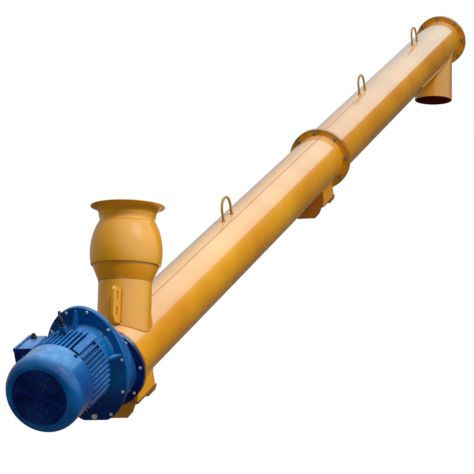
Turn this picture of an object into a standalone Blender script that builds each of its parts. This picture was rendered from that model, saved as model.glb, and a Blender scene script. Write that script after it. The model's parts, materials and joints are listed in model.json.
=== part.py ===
"""Tubular screw conveyor: a sloping tube in two bolted sections, a ball inlet, a down-spout and a gear motor.

Units are metres and +Z is up. The origin is on the flat ring of the inlet rim, on the side of the outlet.
The tube rises towards +X in the plane y = 0. "Along" is the distance up the tube from the point where the
inlet's axis crosses the tube's axis, and "over" is the distance square to the tube, upwards.
"""

import math

import bmesh
import bpy
from mathutils import Vector

# Tube and slope
SLOPE = math.radians(28.0)
TUBE_R = 0.1095
WALL = 0.006
FIT_GAP = 0.0003
TUBE_START = -0.144
JOINT_AT = 2.338
TUBE_END = 4.681
TUBE_FACETS = 40

# Flanges
FLANGE_R = 0.135
FLANGE_T = 0.010
JOINT_GAP = 0.0006

# Inlet, as heights above the crossing of the two axes
SPOUT_IN_R = 0.0903
INLET_CONE_BASE = 0.2325
INLET_SEAM = 0.2875
INLET_NECK = 0.437
INLET_FLARE = 0.454
INLET_RIM = 0.490
INLET_WALL = 0.005
BALL_MID = 0.333
BALL_R = 0.1223
BALL_SEMI_HEIGHT = 0.163
RIM_R = 0.1255
RIM_RING_IN_R = 0.108
INLET_FACETS = 40

# Slotted plate on the spout, as across, out from the axis (towards the motor) and height
BRACKET_ACROSS = -0.022
BRACKET_T = 0.008
BRACKET_ROOT = -0.080
BRACKET_TIP = -0.150
BRACKET_LOW = 0.080
BRACKET_HIGH = 0.199
SLOT_HEIGHTS = (0.1165, 0.1695)
SLOT_END_R = 0.006
SLOT_HALF_STRAIGHT = 0.0105

# Outlet
OUTLET_AT = 4.508
OUTLET_R = 0.098
OUTLET_DROP = 0.288
OUTLET_WALL = 0.005
SADDLE_LIP = 0.012

# Drive, as distances along the tube, downwards from the crossing
BASE_FLANGE_FACE = 0.1445
BASE_FLANGE_T = 0.012
BASE_FLANGE_R = 0.134
DISC_BACK = 0.272
DISC_T = 0.022
DISC_OVER = 0.0635
DISC_HALF_WIDTH = 0.137
DISC_HALF_HEIGHT = 0.197
DISC_FLAT = -0.123
MOTOR_OVER = 0.098
# Gearbox housing from the disc to the base flange: share of the way, half width, half height, distance over
HOUSING_LEVELS = ((0.0, 0.126, 0.178, 0.0635), (0.16, 0.128, 0.176, 0.062), (0.40, 0.127, 0.164, 0.050),
                  (0.68, 0.121, 0.142, 0.029), (0.86, 0.115, 0.124, 0.012), (1.0, 0.108, 0.112, 0.002))
BODY_FRONT = 0.359
BODY_BACK = 0.516
FIN_ROOT_R = 0.095
FIN_TIP_R = 0.114
FIN_CORNER_R = 0.130
FIN_COUNT = 44
RIB_REACHES = (0.155, 0.130, 0.155, 0.130)
RIB_HALF_THICKNESS = 0.004
PAD_ANGLE = math.radians(-40.0)
PAD_HALF_WIDTH = 0.012
PAD_HALF_ANGLE = 0.145
BOX_ANGLE = math.radians(72.0)
BOX_HALF_ANGLE = math.radians(42.0)
BOX_LOW = (-0.486, 0.076, -0.036)
BOX_HIGH = (-0.370, 0.132, 0.100)
GLAND_ACROSS = 0.112
EYEBOLT_FIN = 0
EYEBOLT_AT = -0.388
EYEBOLT_TURN = math.radians(21.0)
EYE_BOSS_R = 0.135
COWL_R = 0.125
COWL_WALL = 0.003
COWL_FRONT = 0.6475
COWL_START = 0.520
COWL_BEND = 0.042
GRILLE_R = 0.091

# Screw
SHAFT_R = 0.0302
FLIGHT_R = 0.097
FLIGHT_T = 0.005
FLIGHT_PITCH = 0.200
FLIGHT_STEPS = 12

# Lifting loops and hatches
LUG_PLACES = (1.131, 3.101, 4.141)
LUG_WIDTH = 0.106
LUG_HEIGHT = 0.084
LUG_BEND = 0.044
LUG_BAR_R = 0.005
HATCH_PLACES = {"drive": TUBE_START + FLANGE_T + FIT_GAP, "middle": 2.0486}
HATCH_HALF_WIDTH = 0.079
HATCH_DEPTH = 0.131
HATCH_SHEET = 0.006
HATCH_LENGTH = 0.170
# Corners of the cross plate, as (across, over)
HATCH_PLATE = ((-0.038, -0.183), (0.038, -0.183), (0.059, -0.163), (0.086, -0.110), (0.086, -0.060),
               (-0.086, -0.060), (-0.086, -0.110), (-0.059, -0.163))
# Lobe of the cover: where it starts, how deep it and the flat part are
LOBE_START = 0.088
LOBE_DEPTH = 0.015
COVER_T = 0.005

ORIGIN_R = (RIM_R + RIM_RING_IN_R) / 2
CROSSING = Vector((-ORIGIN_R, 0.0, -INLET_RIM))


def clear_scene():
    for old in list(bpy.data.objects):
        bpy.data.objects.remove(old, do_unlink=True)


def paint(name, colour, metallic=0.0, roughness=0.35):
    """A plain finish of one colour."""
    material = bpy.data.materials.new(name)
    material.use_nodes = True
    shader = material.node_tree.nodes["Principled BSDF"]
    shader.inputs["Base Color"].default_value = (*colour, 1.0)
    shader.inputs["Metallic"].default_value = metallic
    shader.inputs["Roughness"].default_value = roughness
    material.diffuse_color = (*colour, 1.0)
    return material


def empty(name, location, rotation=(0.0, 0.0, 0.0), parent=None):
    frame = bpy.data.objects.new(name, None)
    bpy.context.scene.collection.objects.link(frame)
    frame.parent = parent
    frame.location = location
    frame.rotation_euler = rotation
    return frame


def finish(bm, name, material, parent, location=(0.0, 0.0, 0.0), rotation=(0.0, 0.0, 0.0)):
    """Turns a bmesh into a smooth-shaded object under its parent."""
    bmesh.ops.remove_doubles(bm, verts=bm.verts, dist=1e-6)
    bmesh.ops.recalc_face_normals(bm, faces=bm.faces)
    mesh = bpy.data.meshes.new(name)
    bm.to_mesh(mesh)
    bm.free()
    mesh.shade_smooth()
    mesh.set_sharp_from_angle(angle=math.radians(32.0))
    if material is not None:
        mesh.materials.append(material)
    piece = bpy.data.objects.new(name, mesh)
    bpy.context.scene.collection.objects.link(piece)
    piece.parent = parent
    piece.location = location
    piece.rotation_euler = rotation
    return piece


def turned(outline, axis="X", facets=TUBE_FACETS):
    """A bmesh turned about X or Z from (distance along the axis, radius) points.

    An outline that starts and ends on the axis makes a solid; any other is closed into a ring.
    """
    bm = bmesh.new()
    points = []
    for along, radius in outline:
        place = (along, 0.0, radius) if axis == "X" else (radius, 0.0, along)
        points.append(bm.verts.new(place))
    solid = outline[0][1] == 0.0 and outline[-1][1] == 0.0
    pairs = list(zip(points[:-1], points[1:]))
    if not solid:
        pairs.append((points[-1], points[0]))
    edges = [bm.edges.new(pair) for pair in pairs]
    direction = (1, 0, 0) if axis == "X" else (0, 0, 1)
    bmesh.ops.spin(
        bm, geom=points + edges, cent=(0, 0, 0), axis=direction, dvec=(0, 0, 0),
        angle=2 * math.pi, steps=facets, use_merge=True, use_duplicate=False,
    )
    return bm


def ring(start, end, inner, outer):
    return [(start, inner), (end, inner), (end, outer), (start, outer)]


def disc(start, end, radius):
    return [(start, 0.0), (start, radius), (end, radius), (end, 0.0)]


def slab(outline, low, high, across="X"):
    """A bmesh of a flat outline pushed from low to high along X (outline in Y, Z) or Y (outline in X, Z)."""
    bm = bmesh.new()
    if across == "X":
        corners = [bm.verts.new((low, a, b)) for a, b in outline]
        push = Vector((high - low, 0.0, 0.0))
    else:
        corners = [bm.verts.new((a, low, b)) for a, b in outline]
        push = Vector((0.0, high - low, 0.0))
    face = bm.faces.new(corners)
    grown = bmesh.ops.extrude_face_region(bm, geom=[face])["geom"]
    moved = [item for item in grown if isinstance(item, bmesh.types.BMVert)]
    bmesh.ops.translate(bm, verts=moved, vec=push)
    return bm


def block(low, high):
    """A bmesh box between two corners."""
    outline = [(low[1], low[2]), (high[1], low[2]), (high[1], high[2]), (low[1], high[2])]
    return slab(outline, low[0], high[0])


def hide(piece):
    piece.hide_render = True
    piece.display_type = "WIRE"
    return piece


def boolean(piece, other, operation):
    change = piece.modifiers.new(operation.lower(), "BOOLEAN")
    change.operation = operation
    change.object = hide(other)
    change.solver = "EXACT"


def cut(piece, *cutters):
    for cutter in cutters:
        boolean(piece, cutter, "DIFFERENCE")


def fuse(piece, *others):
    for other in others:
        boolean(piece, other, "UNION")


def arc(centre, radius, start, end, count):
    """Points on an arc, angles in degrees from the first axis."""
    steps = [math.radians(start + (end - start) * i / (count - 1)) for i in range(count)]
    return [(centre[0] + radius * math.cos(a), centre[1] + radius * math.sin(a)) for a in steps]


def make_tubes(slope, upright, yellow):
    """The two tube sections, with the inlet, outlet and hatch openings cut through them."""
    lower = finish(turned(ring(TUBE_START, JOINT_AT - JOINT_GAP, TUBE_R - WALL, TUBE_R)),
                   "lower_tube", yellow, slope)
    upper = finish(turned(ring(JOINT_AT + JOINT_GAP, TUBE_END, TUBE_R - WALL, TUBE_R)),
                   "upper_tube", yellow, slope)
    inlet_bore = finish(turned(disc(0.0, INLET_CONE_BASE, SPOUT_IN_R - INLET_WALL), "Z", INLET_FACETS),
                        "inlet_bore_cutter", None, upright)
    cut(lower, inlet_bore)
    for label, start in HATCH_PLACES.items():
        hatch_hole = finish(
            block((start + 0.028, -HATCH_HALF_WIDTH + 0.014, -TUBE_R - 0.02),
                  (start + HATCH_LENGTH - 0.014, HATCH_HALF_WIDTH - 0.014, -TUBE_R + 0.048)),
            label + "_hatch_hole_cutter", None, slope)
        cut(lower, hatch_hole)
    outlet_frame = empty("outlet_frame", (OUTLET_AT, 0.0, 0.0), (0.0, SLOPE, 0.0), slope)
    outlet_bore = finish(turned(disc(-OUTLET_DROP, 0.0, OUTLET_R - OUTLET_WALL), "Z", INLET_FACETS),
                         "outlet_bore_cutter", None, outlet_frame)
    cut(upper, outlet_bore)
    return outlet_frame


def make_flanges(slope, yellow):
    """Flat rings on the tube: one at the drive, a pair at the middle joint, and one at the top end."""
    bore = TUBE_R + FIT_GAP
    starts = {
        "drive_end_flange": TUBE_START,
        "middle_flange_lower": JOINT_AT - JOINT_GAP - FLANGE_T,
        "middle_flange_upper": JOINT_AT + JOINT_GAP,
        "top_end_flange": TUBE_END - FLANGE_T,
    }
    for name, start in starts.items():
        finish(turned(ring(start, start + FLANGE_T, bore, FLANGE_R)), name, yellow, slope)


def make_top_end(slope, yellow, steel):
    """The bolted end plate with its bearing boss."""
    start = TUBE_END + FIT_GAP
    finish(turned(disc(start, start + 0.010, FLANGE_R)), "top_end_plate", yellow, slope)
    boss = start + 0.010 + FIT_GAP
    outline = [(boss, 0.0), (boss, 0.052), (boss + 0.012, 0.052), (boss + 0.016, 0.044),
               (boss + 0.042, 0.040), (boss + 0.046, 0.036), (boss + 0.046, 0.0)]
    finish(turned(outline, facets=32), "top_bearing_housing", steel, slope)


def tube_cutter(name, slope, start, end, extra=FIT_GAP):
    """A guide as wide as the tube, to shape what sits on it."""
    return finish(turned(disc(start, end, TUBE_R + extra)), name, None, slope)


def make_inlet(upright, slope, yellow):
    """Spout, cone, ball with its neck, and flared rim, one above the other."""
    bore = SPOUT_IN_R - INLET_WALL
    spout = finish(turned(ring(0.0, INLET_CONE_BASE, bore, SPOUT_IN_R), "Z", INLET_FACETS),
                   "inlet_spout", yellow, upright)
    cut(spout, tube_cutter("inlet_saddle_cutter", slope, -0.4, 0.4))

    cone_low = INLET_CONE_BASE + FIT_GAP
    cone_top = INLET_SEAM + 0.012
    cone_r = ball_radius(INLET_SEAM) - INLET_WALL - 0.0006
    cone = [(cone_low, bore), (cone_low, SPOUT_IN_R)]
    cone += [(INLET_SEAM - 0.004, cone_r), (cone_top, cone_r)]
    cone += [(cone_top, cone_r - INLET_WALL), (INLET_SEAM - 0.004, cone_r - INLET_WALL)]
    finish(turned(cone, "Z", INLET_FACETS), "inlet_cone", yellow, upright)

    levels = [INLET_SEAM + (INLET_NECK - INLET_SEAM) * i / 8 for i in range(9)]
    outside = [(h, ball_radius(h)) for h in levels]
    inside = [(h, ball_radius(h) - INLET_WALL) for h in reversed(levels)]
    neck_r = ball_radius(INLET_NECK)
    neck = [(INLET_FLARE - 0.010, neck_r - 0.001), (INLET_FLARE, neck_r + 0.002)]
    neck_inside = [(h, r - INLET_WALL) for h, r in reversed(neck)]
    finish(turned(outside + neck + neck_inside + inside, "Z", INLET_FACETS), "inlet_ball", yellow, upright)

    low = INLET_FLARE + FIT_GAP
    flare_r = neck_r + 0.002
    under = flare(low, flare_r, INLET_RIM - 0.004, RIM_R)
    above = flare(low, flare_r - INLET_WALL, INLET_RIM, RIM_RING_IN_R)
    outline = under + [(INLET_RIM, RIM_R)] + above[::-1]
    finish(turned(outline, "Z", INLET_FACETS), "inlet_rim", yellow, upright)


def quarter(count):
    """Angles that share out a right angle."""
    return [math.pi / 2 * i / (count - 1) for i in range(count)]


def flare(low, start_r, high, end_r):
    """A curve that leaves a neck upright and ends level at a rim."""
    return [(low + (high - low) * math.sin(t), start_r + (end_r - start_r) * (1 - math.cos(t)))
            for t in quarter(6)]


def ball_radius(height):
    share = (height - BALL_MID) / BALL_SEMI_HEIGHT
    return BALL_R * math.sqrt(1.0 - share * share)


def make_bracket(upright, yellow):
    """The slotted plate that stands off the spout towards the motor."""
    side, thick, tip = BRACKET_ACROSS, BRACKET_T, BRACKET_TIP
    low, high = BRACKET_LOW, BRACKET_HIGH
    outline = [(BRACKET_ROOT, low), (BRACKET_ROOT, high), (tip + 0.012, high), (tip, high - 0.012),
               (tip, low + 0.02), (tip + 0.02, low)]
    plate = finish(slab(outline, side - thick / 2, side + thick / 2, "Y"), "slotted_bracket", yellow, upright)
    cut(plate, finish(turned(disc(0.0, INLET_CONE_BASE, SPOUT_IN_R + FIT_GAP), "Z", INLET_FACETS),
                      "bracket_root_cutter", None, upright))
    middle = (tip - SPOUT_IN_R) / 2
    for number, centre in enumerate(SLOT_HEIGHTS):
        ends = arc((middle, centre + SLOT_HALF_STRAIGHT), SLOT_END_R, 0, 180, 7)
        ends += arc((middle, centre - SLOT_HALF_STRAIGHT), SLOT_END_R, 180, 360, 7)
        slot = finish(slab(ends, side - thick, side + thick, "Y"),
                      "bracket_slot_cutter_%d" % number, None, upright)
        cut(plate, slot)


def bar_loop(name, points, radius, parent, material):
    """A round bar bent along a list of points, with closed ends."""
    curve = bpy.data.curves.new(name, "CURVE")
    curve.dimensions = "3D"
    curve.bevel_depth = radius
    curve.bevel_resolution = 2
    curve.use_fill_caps = True
    spline = curve.splines.new("POLY")
    spline.points.add(len(points) - 1)
    for place, point in zip(spline.points, points):
        place.co = (*point, 1.0)
    curve.materials.append(material)
    piece = bpy.data.objects.new(name, curve)
    bpy.context.scene.collection.objects.link(piece)
    piece.parent = parent
    return piece


def make_lugs(slope, yellow):
    """Three bent-bar lifting loops on the top line of the tube."""
    foot = TUBE_R + FIT_GAP
    half = LUG_WIDTH / 2 - LUG_BAR_R
    shoulder = foot + LUG_HEIGHT - LUG_BAR_R - LUG_BEND
    for number, place in enumerate(LUG_PLACES, start=1):
        start_side = arc((place - half + LUG_BEND, shoulder), LUG_BEND, 180, 90, 7)
        end_side = arc((place + half - LUG_BEND, shoulder), LUG_BEND, 90, 0, 7)
        path = [(place - half, foot)] + start_side + end_side + [(place + half, foot)]
        points = [(along, 0.0, over) for along, over in path]
        bar_loop("lifting_lug_%d" % number, points, LUG_BAR_R, slope, yellow)


def make_hatch(label, slope, yellow):
    """An inspection hatch under the tube: a cross plate, a collar and a bolted cover with a lobe."""
    start = HATCH_PLACES[label]
    tube_room = tube_cutter(label + "_hatch_tube_cutter", slope, start - 0.1, start + HATCH_LENGTH + 0.1)
    plate = finish(slab(HATCH_PLATE, start, start + HATCH_SHEET), label + "_hatch_end_plate", yellow, slope)
    cut(plate, tube_room)

    low = start + HATCH_SHEET + FIT_GAP
    high = start + HATCH_LENGTH
    wide = HATCH_HALF_WIDTH
    collar = finish(block((low, -wide, -HATCH_DEPTH), (high, wide, -0.055)),
                    label + "_hatch_frame", yellow, slope)
    inside = finish(block((low + HATCH_SHEET, -wide + HATCH_SHEET, -HATCH_DEPTH - 0.01),
                          (high - HATCH_SHEET, wide - HATCH_SHEET, 0.0)),
                    label + "_hatch_inside_cutter", None, slope)
    cut(collar, tube_room, inside)

    top = -HATCH_DEPTH - FIT_GAP
    lobe_start = low + LOBE_START
    profile = [(low, top), (high + 0.004, top), (high + 0.004, top - 0.006), (high - 0.012, top - LOBE_DEPTH),
               (lobe_start, top - LOBE_DEPTH), (lobe_start - 0.008, top - COVER_T), (low, top - COVER_T)]
    finish(slab(profile, -wide - 0.003, wide + 0.003, "Y"), label + "_hatch_cover", yellow, slope)


def make_outlet(outlet_frame, slope, yellow):
    """The vertical down-spout and the raised weld ring where it leaves the tube."""
    pipe = finish(turned(ring(-OUTLET_DROP, 0.0, OUTLET_R - OUTLET_WALL, OUTLET_R), "Z", INLET_FACETS),
                  "outlet_spout", yellow, outlet_frame)
    cut(pipe, tube_cutter("outlet_tube_cutter", slope, OUTLET_AT - 0.4, OUTLET_AT + 0.4))
    inner = OUTLET_R + FIT_GAP
    saddle = finish(turned(ring(-0.18, 0.0, inner, inner + 0.005), "Z", INLET_FACETS),
                    "outlet_saddle", yellow, outlet_frame)
    skin_r = TUBE_R + FIT_GAP
    skin = finish(turned(ring(OUTLET_AT - 0.4, OUTLET_AT + 0.4, skin_r, skin_r + SADDLE_LIP)),
                  "outlet_saddle_guide", None, slope)
    boolean(saddle, skin, "INTERSECT")
    below = finish(block((OUTLET_AT - 0.3, -0.2, -0.2), (OUTLET_AT + 0.3, 0.2, -0.020)),
                   "outlet_saddle_side_guide", None, slope)
    boolean(saddle, below, "INTERSECT")


def oval(half_width, half_height, over, count=48):
    """Points (across, over) round an oval."""
    turns = [2 * math.pi * i / count for i in range(count)]
    return [(half_width * math.sin(t), over + half_height * math.cos(t)) for t in turns]


def loft(levels):
    """A solid through outlines with as many points each: (along, outline)."""
    bm = bmesh.new()
    rings = [[bm.verts.new((along, y, z)) for y, z in outline] for along, outline in levels]
    for first, second in zip(rings[:-1], rings[1:]):
        for i, vert in enumerate(first):
            j = (i + 1) % len(first)
            bm.faces.new((vert, first[j], second[j], second[i]))
    bm.faces.new(rings[0])
    bm.faces.new(rings[-1])
    return bm


def make_gearbox(slope, blue, dark_blue, zinc):
    """Base flange, the housing that leads over to the motor's axis, and its oval cover disc."""
    face = -BASE_FLANGE_FACE
    finish(turned(disc(face - BASE_FLANGE_T, face, BASE_FLANGE_R)), "gearbox_base_flange", dark_blue, slope)

    start, end = -DISC_BACK + FIT_GAP, face - BASE_FLANGE_T - FIT_GAP
    levels = [(start + (end - start) * share, oval(width, height, over))
              for share, width, height, over in HOUSING_LEVELS]
    finish(loft(levels), "gearbox_housing", blue, slope)

    low, high, edge = -DISC_BACK - DISC_T, -DISC_BACK, 0.004
    full = oval(DISC_HALF_WIDTH, DISC_HALF_HEIGHT, DISC_OVER)
    small = oval(DISC_HALF_WIDTH - edge, DISC_HALF_HEIGHT - edge, DISC_OVER)
    plate = finish(loft([(low, small), (low + edge, full), (high - edge, full), (high, small)]),
                   "gearbox_cover_disc", blue, slope)
    flat_cutter = finish(block((low - 0.1, -0.2, DISC_FLAT - 0.1), (0.0, 0.2, DISC_FLAT)),
                         "disc_flat_cutter", None, slope)
    cut(plate, flat_cutter)
    finish(turned(disc(low - 0.007, low - FIT_GAP, 0.0085), facets=12), "oil_drain_plug", zinc, slope,
           (0.0, 0.0, DISC_FLAT + 0.014))


def around(angle, radius):
    """The point (across, over) at an angle from the top of the motor, towards +Y."""
    return (radius * math.sin(angle), radius * math.cos(angle))


def near(angle, target, half):
    return abs((angle - target + math.pi) % (2 * math.pi) - math.pi) < half


def fin_angle(number):
    return 2 * math.pi * (number + 0.5) / FIN_COUNT


def fin_tip(angle):
    """How far a fin reaches: further at the four corners, as on a square-cast frame."""
    return FIN_TIP_R + (FIN_CORNER_R - FIN_TIP_R) * abs(math.sin(2 * angle)) ** 3


def fin_outline():
    """Outline of the finned frame, bare at the pad and the terminal box."""
    bare = ((PAD_ANGLE, PAD_HALF_ANGLE), (BOX_ANGLE, BOX_HALF_ANGLE))
    outline = []
    for fin in range(FIN_COUNT):
        middle = fin_angle(fin)
        tip = fin_tip(middle)
        steps = ((-0.036, FIN_ROOT_R), (-0.020, tip), (0.020, tip), (0.036, FIN_ROOT_R))
        if any(near(middle, target, half) for target, half in bare):
            steps = ((-0.036, FIN_ROOT_R), (0.036, FIN_ROOT_R))
        outline += [around(middle + offset, radius) for offset, radius in steps]
    return outline


def make_motor(motor, blue, dark_blue):
    """Finned frame, end shields, fan cowl and grille."""
    finish(slab(fin_outline(), -BODY_BACK, -BODY_FRONT), "motor_body", blue, motor)

    start, end = -BODY_FRONT + FIT_GAP, -DISC_BACK - DISC_T - FIT_GAP
    bell = [(start, 0.0), (start, 0.103), (start + 0.008, 0.106), (start + 0.018, 0.099),
            (end - 0.006, 0.104), (end, 0.108), (end, 0.0)]
    shield = finish(turned(bell), "motor_front_shield", blue, motor)
    for number, reach in enumerate(RIB_REACHES):
        rib_outline = [(start + 0.016, 0.080), (start + 0.016, 0.098),
                       (end - 0.008, reach), (end, reach), (end, 0.080)]
        fuse(shield, finish(slab(rib_outline, -RIB_HALF_THICKNESS, RIB_HALF_THICKNESS, "Y"),
                            "shield_rib_guide_%d" % number, None, motor,
                            rotation=(math.pi / 2 * number, 0.0, 0.0)))

    back = -BODY_BACK - FIT_GAP
    spigot_r = COWL_R - COWL_WALL - FIT_GAP
    finish(turned([(back, 0.0), (back, spigot_r), (back - 0.018, spigot_r), (back - 0.024, 0.085),
                   (back - 0.030, 0.030), (back - 0.030, 0.0)]), "motor_rear_shield", dark_blue, motor)

    front, start, bend = -COWL_FRONT, -COWL_START, COWL_BEND
    outer = [(front + bend - bend * math.sin(t), GRILLE_R + (COWL_R - GRILLE_R) * math.cos(t))
             for t in quarter(6)]
    inner_bend, inner_r = bend - COWL_WALL, COWL_R - COWL_WALL
    inner = [(front + bend - inner_bend * math.sin(t), GRILLE_R + (inner_r - GRILLE_R) * math.cos(t))
             for t in quarter(6)]
    finish(turned([(start, COWL_R)] + outer + inner[::-1] + [(start, inner_r)]), "fan_cowl", blue, motor)
    finish(turned(disc(front + 0.0005, front + 0.0025, GRILLE_R - FIT_GAP)), "fan_grille", dark_blue, motor)


def make_motor_fittings(motor, blue, dark_blue, black):
    """The bare plate pad, the terminal box with its lid and gland, and the eyebolt."""
    core = finish(turned(disc(-0.6, -0.2, FIN_ROOT_R + FIT_GAP)), "motor_core_cutter", None, motor)
    pad = finish(block((-BODY_BACK + 0.006, -PAD_HALF_WIDTH, 0.08),
                       (-BODY_FRONT - 0.006, PAD_HALF_WIDTH, FIN_CORNER_R - 0.004)),
                 "nameplate_pad", blue, motor, rotation=(-PAD_ANGLE, 0.0, 0.0))
    cut(pad, core)
    box = finish(block(BOX_LOW, BOX_HIGH), "terminal_box", dark_blue, motor)
    cut(box, core)
    lid_low = (BOX_LOW[0] - 0.003, BOX_HIGH[1] + FIT_GAP, BOX_LOW[2] - 0.003)
    lid_high = (BOX_HIGH[0] + 0.003, BOX_HIGH[1] + 0.010, BOX_HIGH[2] + 0.003)
    finish(block(lid_low, lid_high), "terminal_box_lid", dark_blue, motor)

    seat = BOX_HIGH[2] + FIT_GAP
    gland = [(seat, 0.0), (seat, 0.010), (seat + 0.006, 0.010), (seat + 0.008, 0.0075),
             (seat + 0.013, 0.0075), (seat + 0.016, 0.005), (seat + 0.016, 0.0)]
    finish(turned(gland, "Z", 16), "cable_gland", black, motor, (BOX_HIGH[0] - 0.024, GLAND_ACROSS, 0.0))

    angle = fin_angle(EYEBOLT_FIN)
    eye = empty("eyebolt_frame", (EYEBOLT_AT, 0.0, 0.0), (-angle, 0.0, 0.0), motor)
    boss_foot = fin_tip(angle) + FIT_GAP
    finish(turned([(boss_foot, 0.0), (boss_foot, 0.014), (EYE_BOSS_R - 0.003, 0.013), (EYE_BOSS_R, 0.011),
                   (EYE_BOSS_R, 0.0)], "Z", 16), "eyebolt_boss", blue, eye)
    foot = EYE_BOSS_R + FIT_GAP
    ring_r, bar_r = 0.0185, 0.0045
    stem = finish(turned([(foot, 0.0), (foot, 0.010), (foot + 0.005, 0.010), (foot + 0.007, 0.006),
                          (foot + 0.014, 0.006), (foot + 0.014, 0.0)], "Z", 16), "eyebolt", black, eye)
    hoop = bmesh.new()
    centre = foot + 0.009 + ring_r
    section = [hoop.verts.new((ring_r + a, 0.0, b)) for a, b in arc((0.0, 0.0), bar_r, 0, 360, 9)[:-1]]
    edges = [hoop.edges.new((section[i], section[(i + 1) % len(section)])) for i in range(len(section))]
    bmesh.ops.spin(hoop, geom=section + edges, cent=(0, 0, 0), axis=(0, 0, 1), dvec=(0, 0, 0),
                   angle=2 * math.pi, steps=16, use_merge=True, use_duplicate=False)
    loop = finish(hoop, "eyebolt_ring_guide", None, eye, (0.0, 0.0, centre), (math.pi / 2, 0.0, EYEBOLT_TURN))
    fuse(stem, loop)


def flight(start, end):
    """A bmesh of one helical sheet round the shaft."""
    bm = bmesh.new()
    inner = (SHAFT_R + FIT_GAP) / math.cos(math.pi / FLIGHT_STEPS)
    count = int((end - start) / FLIGHT_PITCH * FLIGHT_STEPS)
    sections = []
    for step in range(count + 1):
        turn = 2 * math.pi * step / FLIGHT_STEPS
        along = start + FLIGHT_PITCH * step / FLIGHT_STEPS
        section = []
        for offset, radius in ((0.0, inner), (0.0, FLIGHT_R), (FLIGHT_T, FLIGHT_R), (FLIGHT_T, inner)):
            section.append(bm.verts.new((along + offset, radius * math.sin(turn), radius * math.cos(turn))))
        sections.append(section)
    for first, second in zip(sections[:-1], sections[1:]):
        for i in range(4):
            j = (i + 1) % 4
            bm.faces.new((first[i], first[j], second[j], second[i]))
    bm.faces.new(sections[0])
    bm.faces.new(sections[-1])
    return bm


def make_screw(slope, steel):
    """The shaft and its flight, seen through the inlet and the outlet."""
    finish(turned(disc(TUBE_START - 0.0002, TUBE_END, SHAFT_R), facets=24), "screw_shaft", steel, slope)
    finish(flight(TUBE_START + 0.020, JOINT_AT - 0.060), "screw_flight_lower", steel, slope)
    finish(flight(JOINT_AT + 0.060, TUBE_END - 0.050), "screw_flight_upper", steel, slope)


def build():
    clear_scene()
    yellow = paint("yellow_paint", (0.72, 0.36, 0.05))
    blue = paint("blue_paint", (0.02, 0.10, 0.32))
    dark_blue = paint("dark_blue_paint", (0.01, 0.03, 0.14))
    steel = paint("bare_steel", (0.45, 0.45, 0.46), 1.0, 0.4)
    zinc = paint("zinc_plate", (0.66, 0.66, 0.64), 1.0, 0.3)
    black = paint("black_steel", (0.02, 0.02, 0.02), 0.5, 0.4)
    upright = empty("inlet_axis", CROSSING)
    slope = empty("tube_axis", CROSSING, (0.0, -SLOPE, 0.0))
    motor = empty("motor_axis", (0.0, 0.0, MOTOR_OVER), parent=slope)
    outlet_frame = make_tubes(slope, upright, yellow)
    make_flanges(slope, yellow)
    make_top_end(slope, yellow, steel)
    make_inlet(upright, slope, yellow)
    make_bracket(upright, yellow)
    make_lugs(slope, yellow)
    for label in HATCH_PLACES:
        make_hatch(label, slope, yellow)
    make_outlet(outlet_frame, slope, yellow)
    make_gearbox(slope, blue, dark_blue, zinc)
    make_motor(motor, blue, dark_blue)
    make_motor_fittings(motor, blue, dark_blue, black)
    make_screw(slope, steel)


build()
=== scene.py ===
"""Looks for the tubular screw conveyor: paints, fasteners, welds, fan guard, light and camera.

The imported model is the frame. Its solids stay in place and get procedural finishes. The pieces made here sit
on them, or stand for a faceted solid as a finer one. "Along" is the distance up the tube from the crossing,
the point where the inlet's axis crosses the tube's axis. "Over" is square to the tube and upwards, and
"across" is towards +Y. Units are metres.
"""

import json
from math import cos, pi, radians, sin, sqrt

import bmesh
import bpy
from mathutils import Matrix, Vector


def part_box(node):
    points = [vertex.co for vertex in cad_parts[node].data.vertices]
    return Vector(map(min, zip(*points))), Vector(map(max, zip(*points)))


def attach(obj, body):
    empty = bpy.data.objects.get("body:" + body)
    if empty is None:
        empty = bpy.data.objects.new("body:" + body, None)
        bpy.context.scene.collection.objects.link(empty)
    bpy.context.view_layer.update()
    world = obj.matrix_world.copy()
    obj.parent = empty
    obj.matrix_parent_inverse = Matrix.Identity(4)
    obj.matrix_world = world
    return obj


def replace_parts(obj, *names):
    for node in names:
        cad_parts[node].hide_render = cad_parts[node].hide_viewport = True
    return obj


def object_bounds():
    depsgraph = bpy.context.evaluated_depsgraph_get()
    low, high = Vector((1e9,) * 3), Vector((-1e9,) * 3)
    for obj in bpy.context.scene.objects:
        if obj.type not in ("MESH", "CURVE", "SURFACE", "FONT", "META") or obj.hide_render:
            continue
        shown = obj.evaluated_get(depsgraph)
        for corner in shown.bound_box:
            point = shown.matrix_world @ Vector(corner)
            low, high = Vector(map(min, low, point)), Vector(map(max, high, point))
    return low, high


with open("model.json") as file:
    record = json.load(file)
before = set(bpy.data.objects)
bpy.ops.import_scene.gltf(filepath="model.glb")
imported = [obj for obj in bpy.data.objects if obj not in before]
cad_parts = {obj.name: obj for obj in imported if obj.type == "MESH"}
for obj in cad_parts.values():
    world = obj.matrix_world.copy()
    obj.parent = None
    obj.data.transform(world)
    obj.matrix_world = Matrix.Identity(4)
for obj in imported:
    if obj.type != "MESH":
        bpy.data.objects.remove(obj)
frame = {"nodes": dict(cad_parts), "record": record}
cad_low, cad_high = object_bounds()

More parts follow.
